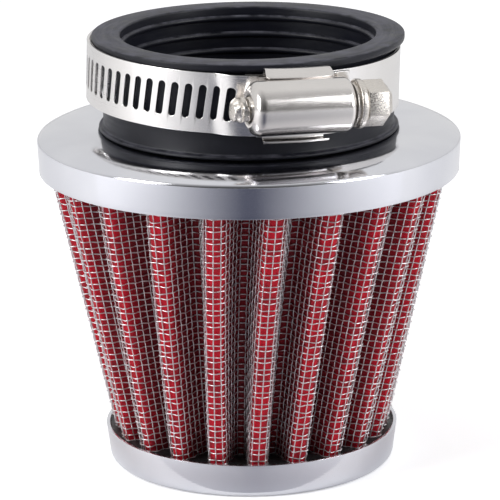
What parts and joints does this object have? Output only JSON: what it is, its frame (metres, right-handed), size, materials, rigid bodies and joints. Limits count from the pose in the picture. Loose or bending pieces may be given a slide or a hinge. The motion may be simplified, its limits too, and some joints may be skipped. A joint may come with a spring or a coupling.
{
  "type": "cone air filter",
  "caption": "Clamp-on cone air filter: pleated medium between wire screens, steel caps, a rubber neck and a worm-drive hose clamp.",
  "frame": {"origin": "centre of the bottom cap's underside, on the filter's axis", "axes": "+Z along the filter's axis, from the bottom cap to the open neck; -Y is the front, where the clamp's screw is; +X is towards the screw's hexagon"},
  "size_m": [0.07, 0.0703, 0.0725],
  "materials": {
    "rubber": "moulded black rubber, matt, slightly dusty",
    "cap_steel": "pressed steel, bright satin plating with a soft circular grain",
    "potting": "black potting compound, cast in place",
    "wire": "woven galvanised steel wire",
    "medium": "red cotton filter medium, oiled",
    "clamp_steel": "cold-rolled stainless strap, bright",
    "screw_steel": "pressed and turned steel, nickel coloured, slightly warm"
  },
  "bodies": {
    "filter": {"rubber_neck": "rubber", "top_cap": "cap_steel", "top_potting": "potting", "outer_mesh": "wire", "filter_media": "medium", "inner_mesh": "wire", "seam_clip": "wire", "bottom_potting": "potting", "bottom_cap": "cap_steel"},
    "clamp": {"clamp_band": "clamp_steel", "clamp_saddle": "clamp_steel", "clamp_housing": "screw_steel"},
    "tail": {"strap_tail": "clamp_steel"},
    "screw": {"worm_screw": "screw_steel"}
  },
  "joints": [
    {"name": "clamp_swivel", "type": "hinge", "parent": "filter", "child": "clamp", "pos_m": [0, 0, 0.0662], "axis": [0, 0, 1], "continuous": true},
    {"name": "screw_turn", "type": "hinge", "parent": "clamp", "child": "screw", "pos_m": [0.00865, -0.02836, 0.0664], "axis": [-0.9479, -0.3173, 0.0298], "range_deg": [-360, 1200]},
    {"name": "strap_feed", "type": "hinge", "parent": "clamp", "child": "tail", "pos_m": [-0.00085, 0, 0.0662], "axis": [0.0314, 0, 0.9995], "range_deg": [-5.1, 16.9]}
  ],
  "couplings": [
    {"joint": "strap_feed", "follows": "screw_turn", "ratio": 0.014034}
  ]
}
